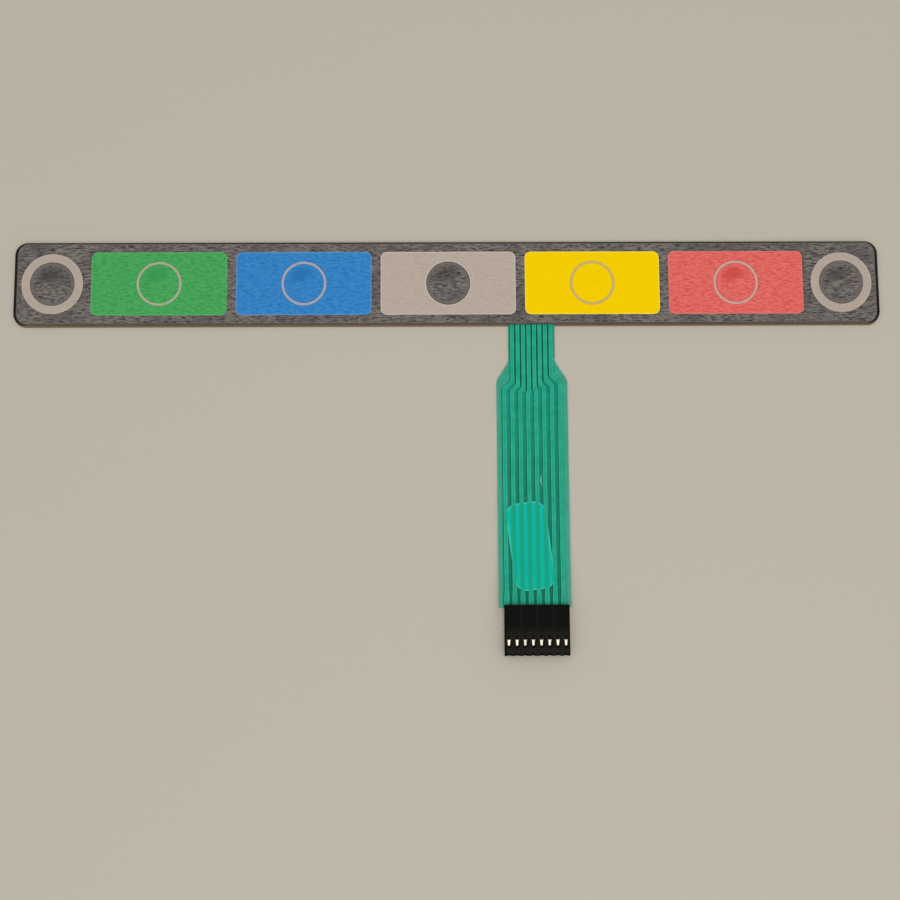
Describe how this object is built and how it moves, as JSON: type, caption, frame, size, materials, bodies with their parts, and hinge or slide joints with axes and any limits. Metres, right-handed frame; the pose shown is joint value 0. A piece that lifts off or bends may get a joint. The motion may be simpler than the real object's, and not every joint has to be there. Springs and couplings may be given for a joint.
{
  "type": "membrane keypad",
  "caption": "Slim membrane keypad strip with coloured key fields, snap domes under a printed film, and a flat printed tail that ends in a crimped receptacle.",
  "frame": {"origin": "centre of the strip's flat underside, on the backing paper", "axes": "+X along the strip to the right, +Y across it and away from the tail, +Z out of the key face"},
  "size_m": [0.2794, 0.1325, 0.003],
  "materials": {
    "backing_paper": "tan kraft paper, matte",
    "adhesive": "clear acrylic adhesive, slightly cloudy",
    "circuit_film": "clear polyester film",
    "silver_print": "screen-printed silver, matte",
    "green_coat": "clear green insulating coat, satin",
    "white_film": "white polyester film",
    "dome_steel": "stainless spring steel",
    "beige_ink": "light beige ink behind clear film",
    "charcoal_ink": "charcoal ink behind textured clear film",
    "green_ink": "green ink behind textured clear film",
    "blue_ink": "blue ink behind textured clear film",
    "yellow_ink": "yellow ink behind textured clear film",
    "red_ink": "red ink behind textured clear film",
    "face_film": "clear polyester film with a fine texture",
    "pad": "pale blue adhesive pad",
    "black_moulding": "black moulded thermoplastic, satin",
    "contact_metal": "plated spring bronze, bright"
  },
  "bodies": {
    "root": {"release_liner": "backing_paper", "rear_adhesive": "adhesive", "circuit_film": "circuit_film", "conductor_print": "silver_print", "insulating_coat": "green_coat", "spacer_adhesive": "adhesive", "dome_retainer": "white_film", "key_1_dome": "dome_steel", "key_2_dome": "dome_steel", "key_3_dome": "dome_steel", "key_4_dome": "dome_steel", "key_5_dome": "dome_steel", "key_6_dome": "dome_steel", "key_7_dome": "dome_steel", "overlay_adhesive": "adhesive", "beige_ink": "beige_ink", "charcoal_ink": "charcoal_ink", "green_ink": "green_ink", "blue_ink": "blue_ink", "yellow_ink": "yellow_ink", "red_ink": "red_ink", "overlay_film": "face_film", "tail_pad": "pad", "connector_housing": "black_moulding", "contact_1": "contact_metal", "contact_2": "contact_metal", "contact_3": "contact_metal", "contact_4": "contact_metal", "contact_5": "contact_metal", "contact_6": "contact_metal", "contact_7": "contact_metal", "contact_8": "contact_metal"}
  },
  "joints": []
}
